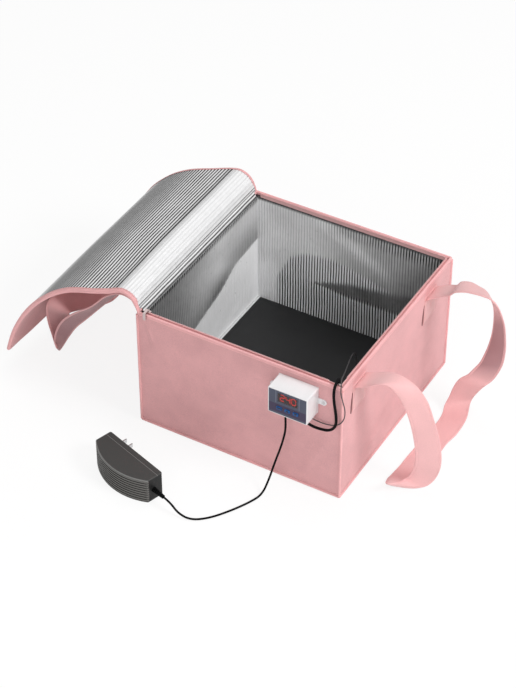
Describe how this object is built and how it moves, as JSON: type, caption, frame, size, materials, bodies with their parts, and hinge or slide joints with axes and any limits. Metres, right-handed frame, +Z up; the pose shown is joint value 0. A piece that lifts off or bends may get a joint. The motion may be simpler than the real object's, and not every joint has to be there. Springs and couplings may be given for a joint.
{
  "type": "folding dough proofer",
  "caption": "Insulated fabric proofing box with a foil-lined fold-over lid, carrying straps, a heating mat, a thermostat on its front wall and a wall adapter on a cord.",
  "frame": {"origin": "centre of the box's bottom face, on the surface it stands on", "axes": "+X to the right along the front wall, +Y from the front wall to the back wall, +Z up"},
  "size_m": [0.672, 0.4706, 0.228],
  "materials": {
    "pink_fabric": "woven matt",
    "strap_fabric": "woven matt",
    "foil_foam": "metallised foil on foam",
    "foil_lid": "ribbed metallised foil on foam",
    "zipper_fabric": "coil zipper on tape",
    "zipper_metal": "bright",
    "mat_skin": "satin coated fabric",
    "heating_film": "polyimide film",
    "white_plastic": "moulded gloss",
    "slate_face": "printed film",
    "display_black": "smoked window",
    "display_red": "lit segments",
    "key_slate": "soft touch",
    "circuit_board": "solder mask",
    "relay_blue": "moulded",
    "terminal_green": "moulded",
    "black_plastic": "textured",
    "black_rubber": "smooth",
    "steel": "bright",
    "transformer_steel": "varnished laminations"
  },
  "bodies": {
    "box": {"front_cover": "pink_fabric", "back_cover": "pink_fabric", "left_cover": "pink_fabric", "right_cover": "pink_fabric", "base_cover": "pink_fabric", "rim_piping": "pink_fabric", "corner_piping": "pink_fabric", "base_piping": "pink_fabric", "lid_hinge_web": "pink_fabric", "right_handle_tabs": "strap_fabric", "left_handle_tabs": "strap_fabric", "front_foam": "foil_foam", "back_foam": "foil_foam", "left_foam": "foil_foam", "right_foam": "foil_foam", "base_foam": "foil_foam", "rim_zipper": "zipper_fabric", "zipper_stop": "zipper_metal", "heating_mat": "mat_skin", "heating_film": "heating_film", "controller_case": "white_plastic", "controller_back": "white_plastic", "faceplate": "slate_face", "display_window": "display_black", "display_digits": "display_red", "controller_board": "circuit_board", "adapter_board": "circuit_board", "relay": "relay_blue", "terminal_block": "terminal_green", "adapter_front_shell": "black_plastic", "adapter_back_shell": "black_plastic", "mat_cable_boot": "black_rubber", "cable_glands": "black_rubber", "adapter_strain_relief": "black_rubber", "dc_cord": "black_rubber", "mat_cable": "black_rubber", "probe_lead": "black_rubber", "mounting_screws": "steel", "plug_blades": "steel", "probe_tip": "steel", "transformer": "transformer_steel"},
    "lid_strip_1": {"lid_cover_1": "pink_fabric", "lid_liner_1": "foil_lid"},
    "lid_strip_2": {"lid_cover_2": "pink_fabric", "lid_liner_2": "foil_lid"},
    "lid_strip_3": {"lid_cover_3": "pink_fabric", "lid_liner_3": "foil_lid"},
    "lid_strip_4": {"lid_cover_4": "pink_fabric", "lid_liner_4": "foil_lid"},
    "lid_strip_5": {"lid_cover_5": "pink_fabric", "lid_liner_5": "foil_lid"},
    "slider": {"zipper_slider": "zipper_metal"},
    "pull": {"zipper_pull": "zipper_metal"},
    "right_strap": {"right_handle": "strap_fabric"},
    "left_strap": {"left_handle": "strap_fabric"},
    "set_key": {"set_button": "key_slate"},
    "up_key": {"up_button": "key_slate"},
    "down_key": {"down_button": "key_slate"}
  },
  "joints": [
    {"name": "lid_hinge", "type": "hinge", "parent": "box", "child": "lid_strip_1", "pos_m": [-0.16, 0, 0.2085], "axis": [0, 1, 0], "range_deg": [0, 136]},
    {"name": "lid_bend_2", "type": "hinge", "parent": "lid_strip_1", "child": "lid_strip_2", "pos_m": [-0.18287, 0, 0.22224], "axis": [0, 1, 0], "range_deg": [0, 57]},
    {"name": "lid_bend_3", "type": "hinge", "parent": "lid_strip_2", "child": "lid_strip_3", "pos_m": [-0.2121, 0, 0.2155], "axis": [0, 1, 0], "range_deg": [0, 12]},
    {"name": "lid_bend_4", "type": "hinge", "parent": "lid_strip_3", "child": "lid_strip_4", "pos_m": [-0.29367, 0, 0.17746], "axis": [0, 1, 0], "range_deg": [0, 22]},
    {"name": "lid_bend_5", "type": "hinge", "parent": "lid_strip_4", "child": "lid_strip_5", "pos_m": [-0.3455, 0, 0.12188], "axis": [0, 1, 0], "range_deg": [0, 20]},
    {"name": "zipper_slide", "type": "slide", "parent": "box", "child": "slider", "axis": [1, 0, 0], "range_m": [0, 0.27]},
    {"name": "zipper_pull_flip", "type": "hinge", "parent": "slider", "child": "pull", "pos_m": [-0.146, -0.1571, 0.2041], "axis": [1, 0, 0], "range_deg": [-170, 0]},
    {"name": "right_handle_raise", "type": "hinge", "parent": "box", "child": "right_strap", "pos_m": [0.1629, 0, 0.181], "axis": [0, -1, 0], "range_deg": [0, 50]},
    {"name": "left_handle_raise", "type": "hinge", "parent": "box", "child": "left_strap", "pos_m": [-0.1629, 0, 0.181], "axis": [0, 1, 0], "range_deg": [0, 45]},
    {"name": "set_press", "type": "slide", "parent": "box", "child": "set_key", "axis": [0, 1, 0], "range_m": [0, 0.0005], "stiffness_N_per_m": 200},
    {"name": "up_press", "type": "slide", "parent": "box", "child": "up_key", "axis": [0, 1, 0], "range_m": [0, 0.0005], "stiffness_N_per_m": 200},
    {"name": "down_press", "type": "slide", "parent": "box", "child": "down_key", "axis": [0, 1, 0], "range_m": [0, 0.0005], "stiffness_N_per_m": 200}
  ],
  "couplings": [
    {"joint": "lid_bend_2", "follows": "lid_hinge", "ratio": 0.41912},
    {"joint": "lid_bend_3", "follows": "lid_hinge", "ratio": 0.088235},
    {"joint": "lid_bend_4", "follows": "lid_hinge", "ratio": 0.16176},
    {"joint": "lid_bend_5", "follows": "lid_hinge", "ratio": 0.14706},
    {"joint": "left_handle_raise", "follows": "lid_hinge", "ratio": 0.33088}
  ]
}
